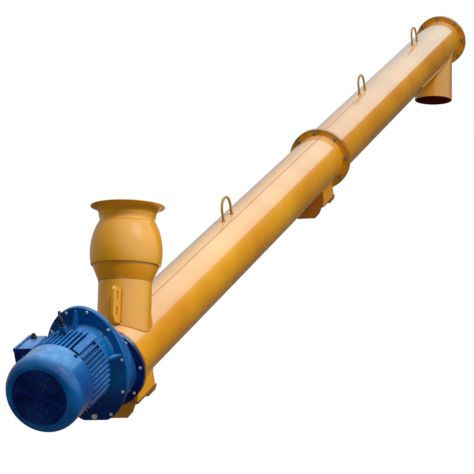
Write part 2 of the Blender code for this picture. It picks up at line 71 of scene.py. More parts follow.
# Tube
SLOPE = radians(28.0)
TUBE_R = 0.1095
TUBE_WALL = 0.006
TUBE_START = -0.144
TUBE_END = 4.681
JOINT_AT = 2.338
HALF_JOINT_GAP = 0.0006
FIT_GAP = 0.0003
TUBE_FIT_R = TUBE_R + FIT_GAP
FLANGE_T = 0.010
FLANGE_R = 0.135
LOWER_FLANGE_START = JOINT_AT - HALF_JOINT_GAP - FLANGE_T
UPPER_FLANGE_START = JOINT_AT + HALF_JOINT_GAP
TOP_FLANGE_START = TUBE_END - FLANGE_T
END_PLATE_START = TUBE_END + FIT_GAP
BOLT_CIRCLE_R = 0.1225
FLANGE_BOLTS = 8
BEARING_BOLT_CIRCLE_R = 0.070

# Inlet, with its heights above the crossing, and outlet
RIM_R = 0.1255
RIM_RING_IN_R = 0.108
INLET_RIM = 0.490
INLET_CONE_BASE = 0.2325
INLET_SEAM = 0.2875
INLET_NECK = 0.437
INLET_FLARE = 0.454
BALL_MID = 0.333
BALL_R = 0.1223
BALL_SEMI_HEIGHT = 0.163
SPOUT_R = 0.0903
PIPE_WALL = 0.005
BRACKET_SIDE = -0.022
BRACKET_HALF_T = 0.004
BRACKET_LOW = 0.080
BRACKET_HIGH = 0.199
OUTLET_AT = 4.508
OUTLET_R = 0.098
OUTLET_DROP = 0.288
SADDLE_LIP = 0.012
SADDLE_T = 0.005
SADDLE_REACH = 0.18
SADDLE_TOP = -0.020

# Drive, as distances along the tube, downwards from the crossing
BASE_FLANGE_FACE = 0.1445
BASE_FLANGE_BACK = 0.1565
BASE_FLANGE_R = 0.134
DISC_BACK = 0.272
DISC_FACE = 0.294
DISC_OVER = 0.0635
DISC_HALF_WIDTH = 0.137
DISC_HALF_HEIGHT = 0.197
DISC_FLAT = -0.123
MOTOR_OVER = 0.098
COWL_R = 0.125
COWL_FRONT = 0.6475
COWL_START = 0.520
COWL_BEND = 0.042
COWL_WALL = 0.003
BODY_FRONT = 0.359
BODY_BACK = 0.516
FIN_ROOT_R = 0.095
FIN_TIP_R = 0.114
FIN_CORNER_R = 0.130
FIN_COUNT = 44
PAD_ANGLE = radians(-40.0)
PAD_HALF_ANGLE = 0.145
BOX_ANGLE = radians(72.0)
BOX_HALF_ANGLE = radians(42.0)
RIB_TIPS = (0.155, 0.130, 0.155, 0.130)
EYE_BOSS_R = 0.135
EYEBOLT_AT = -0.388
EYEBOLT_TURN = radians(21.0)
EYE_RING_R = 0.0185
EYE_BAR_R = 0.0045
GUARD_R = 0.091
GUARD_HUB_R = 0.014
GUARD_T = 0.0020
GUARD_RINGS = 13
GUARD_SINK = 0.0015

# The terminal box, as (along, across, over) from the motor's axis
BOX_LOW = (-0.486, 0.076, -0.036)
BOX_HIGH = (-0.370, 0.132, 0.100)
LID_T = 0.010
LID_LIP = 0.003

# The gearbox housing from the motor's end: share of its length, half width, half height, over
GEARBOX_FORM = ((0.0, 0.126, 0.178, 0.0635), (0.16, 0.128, 0.176, 0.062), (0.40, 0.127, 0.164, 0.050),
                (0.68, 0.121, 0.142, 0.029), (0.86, 0.115, 0.124, 0.012), (1.0, 0.108, 0.112, 0.002))

# Lifting loops and hatches
LUG_PLACES = (1.131, 3.101, 4.141)
LUG_HALF_SPAN = 0.048
LUG_HEIGHT = 0.084
LUG_BEND = 0.044
LUG_BAR_R = 0.005
HATCH_STARTS = {"drive": -0.1337, "middle": 2.0486}
HATCH_LENGTH = 0.170
HATCH_HALF_WIDTH = 0.079
HATCH_HOLE_INSET = 0.014
HATCH_HOLE_TOP = -0.0615
HATCH_COVER_FACE = -0.1363
HATCH_LOBE_FACE = -0.1463
HATCH_BOLTS_ACROSS = 0.066

CROSSING = Vector((-(RIM_R + RIM_RING_IN_R) / 2, 0.0, -INLET_RIM))
UPRIGHT = Matrix.Translation(CROSSING)
TUBE = UPRIGHT @ Matrix.Rotation(-SLOPE, 4, "Y")
MOTOR = TUBE @ Matrix.Translation((0.0, 0.0, MOTOR_OVER))
OUTLET = TUBE @ Matrix.Translation((OUTLET_AT, 0.0, 0.0)) @ Matrix.Rotation(SLOPE, 4, "Y")


# Shader maths


class Value:
    """An output of a shader node. Sums, products and so on add the Math nodes they need."""

    def __init__(self, shader, output):
        self.shader = shader
        self.output = output

    def math(self, operation, *parts, clamp=False):
        settings = {"operation": operation, "use_clamp": clamp}
        return self.shader.node("ShaderNodeMath", settings, dict(enumerate(parts)))

    def __add__(self, other):
        return self.math("ADD", self, other)

    __radd__ = __add__

    def __sub__(self, other):
        return self.math("SUBTRACT", self, other)

    def __rsub__(self, other):
        return self.math("SUBTRACT", other, self)

    def __mul__(self, other):
        return self.math("MULTIPLY", self, other)

    __rmul__ = __mul__

    def __pow__(self, other):
        return self.math("POWER", self, other)

    def absolute(self):
        return self.math("ABSOLUTE", self)

    def limited(self):
        """The value kept from 0 to 1."""
        return self.math("ADD", self, 0.0, clamp=True)

    def ramp(self, low, high):
        """0 where the value is at low or less and 1 at high or more, with soft ends."""
        return self.shader.node("ShaderNodeMapRange", {"interpolation_type": "SMOOTHSTEP"},
                                {"Value": self, "From Min": low, "From Max": high})


class Shader:
    """The node tree of a material or of the surroundings, from the point that is shaded to its last node.

    A material's point is in metres on the part, because its solids and pieces all sit at the origin.
    """

    def __init__(self, owner, last, point):
        owner.use_nodes = True
        self.owner = owner
        self.tree = owner.node_tree
        self.last = self.tree.nodes[last]
        self.point = self.node("ShaderNodeTexCoord", output=point)

    def fill(self, node, inputs):
        """Fills a node's sockets with numbers, colours or other nodes' outputs."""
        for name, value in inputs.items():
            if isinstance(value, Value):
                self.tree.links.new(value.output, node.inputs[name])
            else:
                node.inputs[name].default_value = value

    def finished(self, inputs):
        """Fills the last node and gives the material or the surroundings."""
        self.fill(self.last, inputs)
        return self.owner

    def node(self, kind, settings=None, inputs=None, output=0):
        """Adds a node and gives one of its outputs."""
        made = self.tree.nodes.new(kind)
        for name, value in (settings or {}).items():
            setattr(made, name, value)
        self.fill(made, inputs or {})
        return Value(self, made.outputs[output])

    def parts(self, vector):
        """The X, Y and Z of a vector."""
        return [self.node("ShaderNodeSeparateXYZ", inputs={"Vector": vector}, output=i) for i in range(3)]

    def facing_up(self):
        return self.parts(self.node("ShaderNodeNewGeometry", output="Normal"))[2]

    def noise(self, scale, detail, roughness=0.5, point=None):
        return self.node("ShaderNodeTexNoise", inputs={
            "Vector": point or self.point, "Scale": scale, "Detail": detail, "Roughness": roughness})

    def streaks(self, length, width, roughness):
        """Noise that is drawn out along the tube."""
        drawn_out = self.node("ShaderNodeMapping", {"vector_type": "TEXTURE"}, {
            "Vector": self.point, "Rotation": (0.0, -SLOPE, 0.0), "Scale": (length, width, width)})
        return self.noise(1.0, 5.0, roughness, drawn_out)

    def cells(self, scale):
        """The distance to the middle of the nearest random cell."""
        return self.node("ShaderNodeTexVoronoi", inputs={"Vector": self.point, "Scale": scale})

    def blend(self, share, first, second):
        """From the first colour to the second as the share goes from 0 to 1."""
        return self.node("ShaderNodeMix", {"data_type": "RGBA"}, {0: share, 6: first, 7: second}, output=2)

    def bump(self, height, strength, distance):
        return self.node("ShaderNodeBump", inputs={
            "Height": height, "Strength": strength, "Distance": distance})


def channel(part):
    """One part of a paint chart's colour, 0 to 255, as a share of light."""
    if part <= 10:
        return part / 3294
    return ((part / 255 + 0.055) / 1.055) ** 2.4


def colour(red, green, blue):
    return channel(red), channel(green), channel(blue), 1.0


def towards(direction, parts):
    """How far a vector reaches in a direction."""
    return sum(share * part for share, part in zip(direction, parts))


def new_finish(name):
    return Shader(bpy.data.materials.new(name), "Principled BSDF", "Object")


# Finishes

FRESH_ORANGE = colour(220, 160, 22)
DEEP_ORANGE = colour(196, 125, 12)
WELD_ORANGE = colour(168, 100, 20)
SHADED_ORANGE = colour(160, 64, 10)
# Pale dust, also a painted sheen: what faces up is paler as if lit from above.
PALE_DUST_AND_SHEEN = colour(246, 214, 176)
# A brown used for painted shade under the inlet's rim and on the hatch end plates.
SHADE_BROWN = colour(140, 68, 18)
# A dark brown for the painted shade on the hatch covers.
HATCH_SHADE_BROWN = colour(116, 58, 20)
# Grime by the joints, and the painted shade on the flanges' outer rims.
DARK_GRIME_AND_SHADE = colour(70, 40, 14)
OLIVE_BROWN = colour(138, 114, 62)
PRIMER_MAROON = colour(88, 24, 20)
FRESH_BLUE = colour(2, 94, 156)
DEEP_BLUE = colour(1, 56, 122)
# The gearbox's blues are painted lighter than the motor's, as painted light.
GEAR_BLUE = colour(6, 98, 164)
DEEP_GEAR_BLUE = colour(2, 66, 124)
PALE_BLUE = colour(98, 160, 218)
NAVY = colour(2, 44, 124)
NIGHT_NAVY = colour(1, 18, 76)
GRIME_REACH = 0.05
# Radii over which the flanges' outer rims get painted shade.
FLANGE_SHADE_FROM = 0.116
FLANGE_SHADE_TO = 0.134
LINING_EDGE = 0.002
LINING_OVERRUN = 0.01
# Castings get painted shade below this height.
SHADE_BELOW = -0.565
INLET_LINED_TO = -0.02
# Height above which the inlet's flare and rim get painted shade.
RIM_SHADE_ABOVE = -0.034


def pipe_inside(shader, x_centre, radius, low, high):
    """1 on the inside wall of an upright pipe."""
    x, y, z = shader.parts(shader.point)
    out = ((x - x_centre) ** 2.0 + y ** 2.0) ** 0.5
    in_height = z.ramp(low - LINING_EDGE, low) * (1.0 - z.ramp(high, high + LINING_EDGE))
    return (1.0 - out.ramp(radius, radius + LINING_EDGE)) * in_height


def tube_inside(distance, along):
    """1 on the inside wall of the tube."""
    in_length = along.ramp(TUBE_START, TUBE_START + 0.01) * (1.0 - along.ramp(TUBE_END - 0.01, TUBE_END))
    return (1.0 - distance.ramp(TUBE_R - 0.004, TUBE_R - 0.002)) * in_length


def from_tube(shader):
    """The distance from the tube's axis, and the distance along it."""
    x, y, z = shader.parts(shader.point)
    from_x, from_z = x - CROSSING.x, z - CROSSING.z
    over = from_z * cos(SLOPE) - from_x * sin(SLOPE)
    along = from_x * cos(SLOPE) + from_z * sin(SLOPE)
    return (over ** 2.0 + y ** 2.0) ** 0.5, along


def make_orange_enamel(name, lined=None, wear_and_shade=0.0, worn_and_shaded_to=SHADE_BROWN, coat=1.0, shaded_under_rim=False, dust_and_sheen_share=1.0):
    """Gloss enamel on steel: orange peel, rub marks along the tube, dust and a painted sheen on what faces up
    unless the finish is darkened by wear and painted shade, grime by the joints, painted shade on the flanges'
    outer rims, and painted shade under the inlet's rim if asked.

    Lined gives the middle, radius, foot and top of an upright pipe that is primed inside.
    """
    shader = new_finish(name)
    patches = shader.noise(2.6, 4.0)
    speckle = shader.noise(160.0, 2.0)
    rub_marks = shader.streaks(0.35, 0.012, 0.6).ramp(0.60, 0.74)
    fresh = (patches.ramp(0.32, 0.70) * 0.6 + speckle * 0.2).limited()
    paint = shader.blend(fresh, DEEP_ORANGE, FRESH_ORANGE)
    # Wear on the lifting loops, and painted shade on the cone, the outlet, the hatch covers and the end
    # plates: blended towards a darker colour.
    if wear_and_shade:
        paint = shader.blend(wear_and_shade * (0.6 + 0.8 * patches), paint, worn_and_shaded_to)
    else:
        # Dust on what faces up, which is also a painted sheen: the tops are paler as if lit from above.
        dust_and_sheen = shader.facing_up().ramp(0.25, 0.95) * (0.22 + 0.30 * patches + 0.20 * rub_marks) * dust_and_sheen_share
        paint = shader.blend(dust_and_sheen.limited(), paint, PALE_DUST_AND_SHEEN)
    distance, along = from_tube(shader)
    joint_grime = sum(1.0 - (along - joint).absolute().ramp(0.0, GRIME_REACH)
                      for joint in (TUBE_START, JOINT_AT, TUBE_END))
    # Painted shade: the flanges darker towards their outer rims by the joints.
    flange_rim_shade = joint_grime * distance.ramp(FLANGE_SHADE_FROM, FLANGE_SHADE_TO) * 0.38
    grime_and_shade = (joint_grime * shader.noise(26.0, 4.0).ramp(0.45, 0.75) * 0.5 + flange_rim_shade).limited()
    paint = shader.blend(grime_and_shade, paint, DARK_GRIME_AND_SHADE)
    # Painted shade on the inlet's flare and rim: darker brown from just under the rim upwards.
    if shaded_under_rim:
        above = shader.parts(shader.point)[2].ramp(RIM_SHADE_ABOVE, RIM_SHADE_ABOVE + 0.04)
        rim_shade = above * (0.15 + 0.5 * patches)
        paint = shader.blend(rim_shade.limited(), paint, SHADE_BROWN)
    primed = pipe_inside(shader, *lined) if lined else tube_inside(distance, along)
    peel = shader.noise(420.0, 2.0) * 0.6 + shader.noise(60.0, 2.0) * 0.4
    dull = coat < 0.5
    return shader.finished({
        "Base Color": shader.blend(primed, paint, PRIMER_MAROON),
        "Roughness": (0.16 + 0.10 * patches + 0.30 * grime_and_shade + 0.12 * rub_marks).limited(),
        "Normal": shader.bump(peel, 0.03, 0.0006),
        "Coat Weight": coat, "Coat Roughness": 0.3 if dull else 0.045, "Coat IOR": 1.5,
        "IOR": 1.45, "Specular IOR Level": 0.1 if dull else 0.2})


def make_blue_enamel(name, fresh, deep, cast, coat=0.9):
    """Semi-gloss enamel, smooth on pressed sheet and grained on castings, with dust and a painted sheen on
    what faces up.

    Castings get painted shade towards their bottoms: dark navy below a set height, with no dust there.
    """
    shader = new_finish(name)
    patches = shader.noise(9.0, 4.0)
    tone = shader.blend((patches.ramp(0.3, 0.7) * 0.7).limited(), deep, fresh)
    roughness = 0.22 + 0.16 * patches
    # Pale blue on what faces up: dust, and a painted sheen as if lit from above.
    facing_up = shader.facing_up().ramp(0.30, 0.95)
    specks = 0.35 * shader.noise(34.0, 5.0).ramp(0.35, 0.75)
    if cast:
        # Painted shade: the castings turn dark navy towards their bottoms.
        above_shade = shader.parts(shader.point)[2].ramp(SHADE_BELOW - 0.15, SHADE_BELOW)
        tone = shader.blend(((1.0 - above_shade) * (0.65 + 0.4 * patches)).limited(), tone, NIGHT_NAVY)
        dust_and_sheen = above_shade * facing_up * (0.28 + specks)
        height = shader.cells(420.0) * 0.5 + shader.noise(260.0, 3.0) * 0.5
        roughness = roughness + 0.10 * height
    else:
        dust_and_sheen = facing_up * (0.52 + specks)
        height = shader.noise(300.0, 2.0)
    return shader.finished({
        "Base Color": shader.blend(dust_and_sheen.limited(), tone, PALE_BLUE),
        "Roughness": roughness.limited(),
        "Normal": shader.bump(height, 0.22 if cast else 0.04, 0.0008),
        "Coat Weight": coat, "Coat Roughness": 0.08, "Coat IOR": 1.5, "Specular IOR Level": 0.05})


def make_bright_steel(name):
    """Worn screw steel: scratches round the shaft with thin rust in patches."""
    shader = new_finish(name)
    scratches = shader.streaks(0.004, 0.06, 0.7)
    rust = shader.noise(24.0, 6.0, 0.65).ramp(0.52, 0.70)
    steel = shader.blend(scratches, colour(120, 122, 124), colour(176, 178, 180))
    return shader.finished({
        "Base Color": shader.blend(rust * 0.8, steel, colour(110, 58, 28)),
        "Metallic": 1.0 - rust * 0.85,
        "Roughness": (0.28 + 0.2 * scratches + 0.35 * rust).limited(),
        "Normal": shader.bump(scratches, 0.15, 0.0005)})


def make_zinc(name, dark, light, metallic):
    """Zinc plate: a faint spangle, with a little white bloom in the corners."""
    shader = new_finish(name)
    spangle = shader.cells(700.0)
    bloom = shader.noise(150.0, 4.0).ramp(0.5, 0.75)
    return shader.finished({
        "Base Color": shader.blend(bloom * 0.5, shader.blend(spangle, dark, light), colour(205, 203, 196)),
        "Metallic": metallic - bloom * 0.3,
        "Roughness": (0.24 + 0.25 * bloom + 0.1 * spangle).limited(),
        "Normal": shader.bump(spangle, 0.06, 0.0004)})


def make_blackened(name):
    """Blackened forging or moulded black plastic, with a dry satin grain."""
    shader = new_finish(name)
    grain = shader.noise(320.0, 5.0, 0.6)
    rub = shader.noise(60.0, 4.0).ramp(0.58, 0.75)
    return shader.finished({
        "Base Color": shader.blend(rub * 0.6, colour(20, 21, 24), colour(58, 58, 60)),
        "Roughness": (0.36 + 0.2 * grain + 0.1 * rub).limited(),
        "Normal": shader.bump(grain, 0.18, 0.0006),
        "IOR": 1.5})


def make_weld_paint(name):
    """A painted weld bead: the tube's enamel over the bead's ripples."""
    shader = new_finish(name)
    ripples = shader.noise(220.0, 3.0)
    return shader.finished({
        "Base Color": shader.blend(ripples.ramp(0.35, 0.7), WELD_ORANGE, DEEP_ORANGE),
        "Roughness": (0.22 + 0.2 * ripples).limited(),
        "Normal": shader.bump(ripples, 0.35, 0.001),
        "Coat Weight": 0.4, "Coat Roughness": 0.25, "Specular IOR Level": 0.2})


outlet_foot, outlet_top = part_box("outlet_spout")
outlet_lining = (OUTLET.translation.x, OUTLET_R - PIPE_WALL,
                 outlet_foot.z - LINING_OVERRUN, outlet_top.z + LINING_OVERRUN)
inlet_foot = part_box("inlet_spout")[0]
inlet_lining = (CROSSING.x, SPOUT_R - PIPE_WALL, inlet_foot.z - LINING_OVERRUN, INLET_LINED_TO)

orange = make_orange_enamel("orange_enamel")
# The outlet and its saddle are darker and browner all over, a painted shade.
outlet_orange = make_orange_enamel("orange_enamel_primed_outlet", outlet_lining, 0.26, OLIVE_BROWN, 0.65)
inlet_orange = make_orange_enamel("orange_enamel_primed_inlet", inlet_lining, dust_and_sheen_share=0.2)
# The inlet's cone faces down: painted shade in a darker, redder orange.
shaded_orange = make_orange_enamel("orange_enamel_on_cone", wear_and_shade=0.22, worn_and_shaded_to=SHADED_ORANGE)
rim_orange = make_orange_enamel("orange_enamel_on_rim", coat=0.5, shaded_under_rim=True, dust_and_sheen_share=0.2)
# The hatch end plates are painted shade: darker brown, the middle one darker still.
end_plate_shade_orange = make_orange_enamel("orange_enamel_painted_end_plate_shade", wear_and_shade=0.32, coat=0.25)
deep_end_plate_shade_orange = make_orange_enamel("orange_enamel_painted_deep_end_plate_shade", wear_and_shade=0.78, coat=0.25)
# The hatch covers under the tube are painted shade: dark brown.
hatch_shade_orange = make_orange_enamel("orange_enamel_painted_hatch_shade", wear_and_shade=0.85, worn_and_shaded_to=HATCH_SHADE_BROWN, coat=0.25)
handled_orange = make_orange_enamel("handled_orange_enamel", wear_and_shade=0.7, worn_and_shaded_to=OLIVE_BROWN, coat=0.25)
weld_paint = make_weld_paint("orange_enamel_on_weld")
sheet_blue = make_blue_enamel("blue_enamel_on_sheet", FRESH_BLUE, DEEP_BLUE, cast=False)
cast_blue = make_blue_enamel("blue_enamel_on_casting", FRESH_BLUE, DEEP_BLUE, cast=True, coat=0.5)
# Painted light: the gearbox in a lighter blue than the motor's castings.
gear_blue = make_blue_enamel("blue_enamel_on_gearbox", GEAR_BLUE, DEEP_GEAR_BLUE, cast=True, coat=0.8)
sheet_navy = make_blue_enamel("navy_enamel_on_sheet", NAVY, NIGHT_NAVY, cast=False)
bright_steel = make_bright_steel("worn_bright_steel")
zinc = make_zinc("zinc_plating", colour(184, 184, 186), colour(222, 222, 224), 0.45)
# A darker zinc for the tube's flange bolts: weathered, and painted shade where they sit in shade.
weathered_and_shaded_zinc = make_zinc("weathered_and_shaded_zinc_plating", colour(96, 84, 66), colour(146, 134, 112), 0.35)
blackened = make_blackened("blackened_steel")

SLOTS = {row["node"]: row["material_slot"] for row in frame["record"]["subparts"]}
SLOT_FINISH = {"yellow_paint": orange, "blue_paint": cast_blue, "dark_blue_paint": sheet_navy,
               "bare_steel": bright_steel, "zinc_plate": zinc, "black_steel": blackened}
NODE_FINISH = {"inlet_spout": inlet_orange, "inlet_ball": inlet_orange, "inlet_cone": shaded_orange,
               "inlet_rim": rim_orange, "outlet_spout": outlet_orange, "outlet_saddle": outlet_orange,
               "lifting_lug_1": handled_orange, "lifting_lug_2": handled_orange,
               "lifting_lug_3": handled_orange,
               "drive_hatch_cover": hatch_shade_orange, "middle_hatch_cover": hatch_shade_orange,
               "drive_hatch_end_plate": end_plate_shade_orange, "middle_hatch_end_plate": deep_end_plate_shade_orange,
               "gearbox_housing": gear_blue, "fan_cowl": sheet_blue}


def finish_of(node):
    return NODE_FINISH.get(node, SLOT_FINISH[SLOTS[node]])


for node in SLOTS:
    frame["nodes"][node].data.materials.clear()
    frame["nodes"][node].data.materials.append(finish_of(node))


# Numbers and places

X_AXIS, Y_AXIS, Z_AXIS = Vector((1, 0, 0)), Vector((0, 1, 0)), Vector((0, 0, 1))
ALONG = Matrix.Rotation(pi / 2, 4, "Y")
DOWN_TUBE = Matrix.Rotation(-pi / 2, 4, "Y")
SIDEWAYS = Matrix.Rotation(-pi / 2, 4, "X")
BELOW = Matrix.Rotation(pi, 4, "X")


def turns(count, shift=0.0):
    """Angles that part a full turn evenly."""
    return [2 * pi * (i + shift) / count for i in range(count)]


def straight(first, last, count):
    """Numbers from the first to the last in even steps."""
    return [first + (last - first) * i / count for i in range(count + 1)]


def quarter(count):
    """Angles through a quarter turn, with both ends."""
    return straight(0.0, pi / 2, count)


def oval(along, half_width, half_height, over, angles):
    """Points round an oval that is square to the tube, from its top towards +Y."""
    return [Vector((along, half_width * sin(t), over + half_height * cos(t))) for t in angles]


def circle_path(centre, radius, first, second, spacing):
    """Points round a circle in the plane of two directions."""
    count = max(24, int(2 * pi * radius / spacing))
    return [centre + first * (radius * cos(t)) + second * (radius * sin(t)) for t in turns(count)]


def tube_surface(across):
    """How far over the tube's axis its surface lies at a distance across."""
    return sqrt(TUBE_R ** 2 - across ** 2)


# Shapes


def shown(name, data):
    """A new object in the scene."""
    made = bpy.data.objects.new(name, data)
    bpy.context.scene.collection.objects.link(made)
    return made


def mesh_of(name, bm):
    """A mesh of the shape, which is used up."""
    mesh = bpy.data.meshes.new(name)
    bm.to_mesh(mesh)
    bm.free()
    return mesh


def piece(name, bm, placing, finish):
    """Puts a shape where it belongs, in the row's frame, as a piece that rides on the conveyor."""
    bm.transform(placing)
    bmesh.ops.recalc_face_normals(bm, faces=bm.faces)
    mesh = mesh_of(name, bm)
    mesh.shade_smooth()
    mesh.set_sharp_from_angle(angle=radians(35.0))
    mesh.materials.append(finish)
    made = shown(name, mesh)
    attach(made, "root")
    return made


def stand_in(name, bm, placing, node):
    """A finer piece in place of a faceted solid, with the solid's finish."""
    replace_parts(piece(name, bm, placing, finish_of(node)), node)


def placed(bm, matrix):
    bm.transform(matrix)
    return bm


def joined(*shapes):
    """One shape of several."""
    whole = bmesh.new()
    for shape in shapes:
        mesh = mesh_of("part", shape)
        whole.from_mesh(mesh)
        bpy.data.meshes.remove(mesh)
    return whole


def copies(template, places):
    """One shape with the template at each of the places."""
    whole = joined(*[placed(template.copy(), place) for place in places])
    template.free()
    return whole


def carved(bm, *cutters, keep=False):
    """The shape with the cutters taken out of it, or cut back to what they share."""
    things = []
    for shape in (bm, *cutters):
        bmesh.ops.recalc_face_normals(shape, faces=shape.faces)
        things.append(shown("carved", mesh_of("carved", shape)))
    for cutter in things[1:]:
        change = things[0].modifiers.new("carve", "BOOLEAN")
        change.operation = "INTERSECT" if keep else "DIFFERENCE"
        change.object = cutter
        change.solver = "EXACT"
    bpy.context.view_layer.update()
    result = bmesh.new()
    result.from_object(things[0], bpy.context.evaluated_depsgraph_get())
    for thing in things:
        bpy.data.meshes.remove(thing.data)
    return result


def turned(outline, facets=144):
    """A shape turned about Z from (height, radius) points. Ends on the axis make a solid, others a ring."""
    bm = bmesh.new()
    points = [bm.verts.new((radius, 0.0, height)) for height, radius in outline]
    pairs = list(zip(points[:-1], points[1:]))
    if outline[0][1] > 0.0:
        pairs.append((points[-1], points[0]))
    edges = [bm.edges.new(pair) for pair in pairs]
    bmesh.ops.spin(bm, geom=points + edges, cent=(0, 0, 0), axis=(0, 0, 1), dvec=(0, 0, 0),
                   angle=2 * pi, steps=facets, use_merge=True, use_duplicate=False)
    bmesh.ops.remove_doubles(bm, verts=bm.verts, dist=1e-6)
    return bm


def rod(low, high, radius, facets=144, bore=0.0):
    """A rod along Z, or a ring if it has a bore."""
    return turned([(low, bore), (low, radius), (high, radius), (high, bore)], facets)


def pipe(low, high, inner, outer, edge=0.0008):
    """A pipe along Z, or a disc if its inner radius is nil, with its outer rims eased."""
    return turned([(low, inner), (low, outer - edge), (low + edge, outer), (high - edge, outer),
                   (high, outer - edge), (high, inner)])


def block(low, high, edge=0.0):
    """A box between two corners, with its edges rounded over."""
    bm = bmesh.new()
    bmesh.ops.create_cube(bm, size=1.0)
    low, high = Vector(low), Vector(high)
    bm.transform(Matrix.Translation((low + high) / 2) @ Matrix.Diagonal((*(high - low), 1.0)))
    if edge:
        bmesh.ops.bevel(bm, geom=bm.edges[:], offset=edge, segments=3, affect="EDGES", profile=0.5)
    return bm


def loft(levels, closed=False):
    """A solid through outlines with as many points each, or a loop that joins the last to the first."""
    bm = bmesh.new()
    rings = [[bm.verts.new(point) for point in outline] for outline in levels]
    pairs = list(zip(rings[:-1], rings[1:]))
    if closed:
        first, last = rings[0], rings[-1]
        start = min(range(len(first)), key=lambda i: (first[i].co - last[0].co).length)
        pairs.append((last, first[start:] + first[:start]))
    for lower, upper in pairs:
        for i, vert in enumerate(lower):
            j = (i + 1) % len(lower)
            bm.faces.new((vert, lower[j], upper[j], upper[i]))
    if not closed:
        bm.faces.new(rings[0])
        bm.faces.new(rings[-1])
    return bm


def sweep(path, width, closed=False, ripple=0.10, sides=8):
    """A round bar or a weld bead along a list of points, lumpy every few millimetres as a weld is."""
    levels = []
    count = len(path)
    for i, point in enumerate(path):
        ahead = path[(i + 1) % count] if closed or i + 1 < count else point
        behind = path[i - 1] if closed or i > 0 else point
        direction = (ahead - behind).normalized()
        side = side - direction * side.dot(direction) if levels else direction.orthogonal()
        side = side.normalized()
        other = direction.cross(side)
        radius = width / 2 * (1.0 + ripple * (sin(2.1 * i) + 0.6 * sin(0.83 * i + 1.0)))
        levels.append([point + (side * cos(t) + other * sin(t)) * radius for t in turns(sides)])
    return loft(levels, closed)


def hexagon(flats, low, high):
    """A hexagon head or nut from low to high, with its top chamfered to a circle."""
    sixth = pi / 3
    sides = [(t, flats / 2 / cos((t + sixth / 2) % sixth - sixth / 2)) for t in turns(24)]
    top = [(t, flats / 2) for t in turns(24)]
    levels = ((low, sides), (high - 0.06 * flats, sides), (high, top))
    return loft([[(radius * cos(t), radius * sin(t), height) for t, radius in ring]
                 for height, ring in levels])


def bolt(size, grip=None):
    """A bolt down from a face at Z = 0: washer and head and, past its grip, washer, nut and thread."""
    flats, washer_t = 1.55 * size, 0.16 * size
    washer = [(0.0, 0.5 * size), (0.0, 1.08 * size), (washer_t, 1.04 * size), (washer_t, 0.5 * size)]
    shapes = [hexagon(flats, washer_t, washer_t + 0.62 * size), turned(washer, 24)]
    if grip is not None:
        end, chamfer = washer_t + 1.35 * size, 0.1 * size
        thread = [(-grip, 0.0), (-grip, size / 2), (end - chamfer, size / 2), (end, size / 2 - chamfer),
                  (end, 0.0)]
        nut = hexagon(flats, washer_t, washer_t + 0.8 * size)
        below = joined(nut, turned(washer, 24), turned(thread, 16))
        shapes.append(placed(below, Matrix.Translation((0, 0, -grip)) @ BELOW))
    return joined(*shapes)


# Tube, inlet and outlet, turned finely so that the gloss runs smoothly over them

CUTTER_REACH = 0.4


def make_tube_sections():
    """The two lengths of tube, with their holes for the inlet, the hatches and the outlet."""
    holes = [placed(rod(0.0, INLET_CONE_BASE, SPOUT_R - PIPE_WALL), TUBE.inverted() @ UPRIGHT)]
    side = HATCH_HALF_WIDTH - HATCH_HOLE_INSET
    for start in HATCH_STARTS.values():
        holes.append(block((start + 2 * HATCH_HOLE_INSET, -side, -TUBE_R - 0.02),
                           (start + HATCH_LENGTH - HATCH_HOLE_INSET, side, HATCH_HOLE_TOP)))
    lower = placed(pipe(TUBE_START, JOINT_AT - HALF_JOINT_GAP, TUBE_R - TUBE_WALL, TUBE_R), ALONG)
    stand_in("lower_tube_skin", carved(lower, *holes), TUBE, "lower_tube")
    outlet_bore = placed(rod(-OUTLET_DROP, 0.0, OUTLET_R - PIPE_WALL), TUBE.inverted() @ OUTLET)
    upper = placed(pipe(JOINT_AT + HALF_JOINT_GAP, TUBE_END, TUBE_R - TUBE_WALL, TUBE_R), ALONG)
    stand_in("upper_tube_skin", carved(upper, outlet_bore), TUBE, "upper_tube")


def make_flange_rings():
    starts = {"drive_end_flange": TUBE_START, "middle_flange_lower": LOWER_FLANGE_START,
              "middle_flange_upper": UPPER_FLANGE_START, "top_end_flange": TOP_FLANGE_START}
    for name, start in starts.items():
        stand_in(name + "_ring", pipe(start, start + FLANGE_T, TUBE_FIT_R, FLANGE_R), TUBE @ ALONG, name)
    plate = pipe(END_PLATE_START, END_PLATE_START + FLANGE_T, 0.0, FLANGE_R, edge=0.001)
    stand_in("top_end_cover", plate, TUBE @ ALONG, "top_end_plate")


def ball_radius(height):
    share = (height - BALL_MID) / BALL_SEMI_HEIGHT
    return BALL_R * sqrt(1.0 - share * share)


def flare(low, start_r, high, end_r):
    """A curve that leaves a neck upright and ends level at a rim."""
    rise, spread = high - low, end_r - start_r
    return [(low + rise * sin(t), start_r + spread * (1 - cos(t))) for t in quarter(12)]


